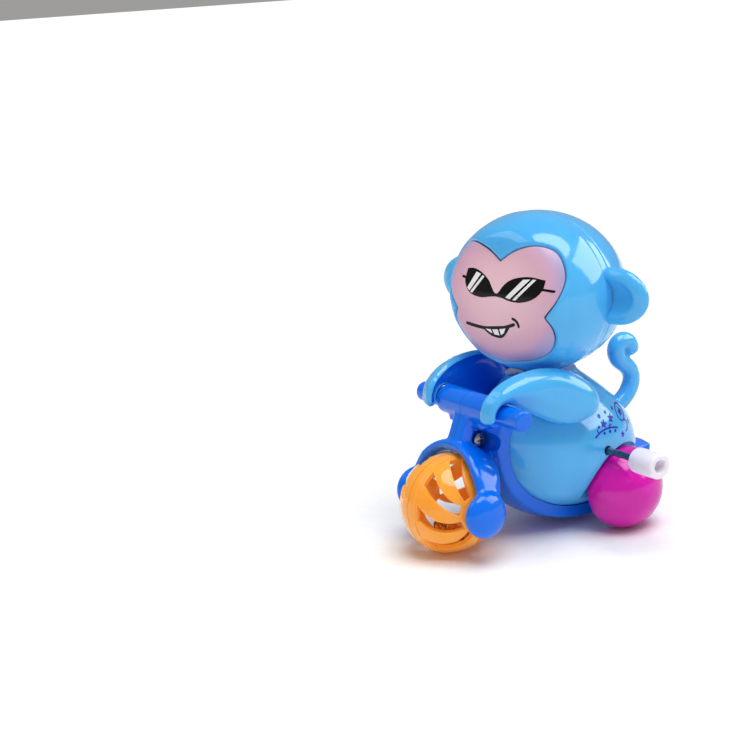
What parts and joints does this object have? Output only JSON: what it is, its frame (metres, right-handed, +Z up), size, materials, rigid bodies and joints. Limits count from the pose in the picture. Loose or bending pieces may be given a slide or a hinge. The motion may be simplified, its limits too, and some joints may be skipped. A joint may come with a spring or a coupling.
{
  "type": "wind-up toy monkey on a tricycle",
  "caption": "Wind-up monkey riding a tricycle: a spring motor turns the rear wheels through gears, the front wheel is a slotted ball with bells, and the head turns.",
  "frame": {"origin": "on the ground, under the middle of the toy's outer box", "axes": "+Z up, -Y the way the monkey faces and drives, +X the monkey's left, where the winding knob is"},
  "size_m": [0.0802, 0.0872, 0.0951],
  "materials": {
    "sky_plastic": "gloss light blue, injection moulded",
    "royal_plastic": "gloss royal blue, injection moulded",
    "face_plastic": "satin pale pink with a printed face",
    "ball_plastic": "gloss orange, injection moulded",
    "wheel_plastic": "gloss magenta, injection moulded",
    "knob_nylon": "milky white nylon",
    "gear_plastic": "natural white acetal",
    "steel": "bright zinc plated steel, darker on the winding shaft",
    "bell_brass": "polished brass"
  },
  "bodies": {
    "tricycle": {"frame_left": "royal_plastic", "frame_right": "royal_plastic", "stem_screw": "steel", "tongue_screw": "steel", "body_shell_left": "sky_plastic", "body_shell_right": "sky_plastic", "tail": "sky_plastic", "arm_shell_left": "sky_plastic", "arm_shell_right": "sky_plastic", "arm_backing_left": "royal_plastic", "arm_backing_right": "royal_plastic", "motor_plate_left": "gear_plastic", "motor_plate_right": "gear_plastic", "motor_pillar_1": "steel", "motor_pillar_2": "steel", "motor_pillar_3": "steel", "mainspring": "steel"},
    "head": {"head_front_shell": "sky_plastic", "head_back_shell": "sky_plastic", "face_plate": "face_plastic", "ear_left": "sky_plastic", "ear_right": "sky_plastic", "neck_spigot": "sky_plastic"},
    "winder": {"winding_knob": "knob_nylon", "winding_shaft": "steel", "main_gear": "gear_plastic", "ratchet_wheel": "steel"},
    "idler": {"idler_shaft": "steel", "idler_gear": "gear_plastic", "idler_pinion": "steel"},
    "rear_wheels": {"rear_axle": "steel", "axle_pinion": "steel", "wheel_left": "wheel_plastic", "wheel_right": "wheel_plastic"},
    "front_ball": {"ball_half_left": "ball_plastic", "ball_half_right": "ball_plastic"},
    "bell_swing_1": {"bell_1": "bell_brass"},
    "bell_swing_2": {"bell_2": "bell_brass"},
    "bell_swing_3": {"bell_3": "bell_brass"}
  },
  "joints": [
    {"name": "head_turn", "type": "hinge", "parent": "tricycle", "child": "head", "pos_m": [-0.00227, 0.00628, 0.049], "axis": [0, 0, 1], "range_deg": [-57.9, 32.1]},
    {"name": "key_turn", "type": "hinge", "parent": "tricycle", "child": "winder", "pos_m": [-0.00227, 0.01358, 0.0254], "axis": [1, 0, 0], "continuous": true},
    {"name": "idler_spin", "type": "hinge", "parent": "tricycle", "child": "idler", "pos_m": [-0.00227, 0.02425, 0.0211], "axis": [1, 0, 0], "continuous": true},
    {"name": "wheel_spin", "type": "hinge", "parent": "tricycle", "child": "rear_wheels", "pos_m": [-0.00227, 0.02068, 0.0123], "axis": [1, 0, 0], "continuous": true},
    {"name": "ball_roll", "type": "hinge", "parent": "tricycle", "child": "front_ball", "pos_m": [-0.00227, -0.02912, 0.01455], "axis": [1, 0, 0], "continuous": true},
    {"name": "bell_1_swing", "type": "hinge", "parent": "tricycle", "child": "bell_swing_1", "pos_m": [-0.00747, -0.02912, 0.01455], "axis": [1, 0, 0], "range_deg": [-50, 50]},
    {"name": "bell_2_swing", "type": "hinge", "parent": "tricycle", "child": "bell_swing_2", "pos_m": [-0.00227, -0.02912, 0.01455], "axis": [1, 0, 0], "range_deg": [-50, 50]},
    {"name": "bell_3_swing", "type": "hinge", "parent": "tricycle", "child": "bell_swing_3", "pos_m": [0.00293, -0.02912, 0.01455], "axis": [1, 0, 0], "range_deg": [-50, 50]}
  ],
  "couplings": [
    {"joint": "idler_spin", "follows": "wheel_spin", "ratio": -0.35714},
    {"joint": "key_turn", "follows": "wheel_spin", "ratio": 0.099206}
  ]
}
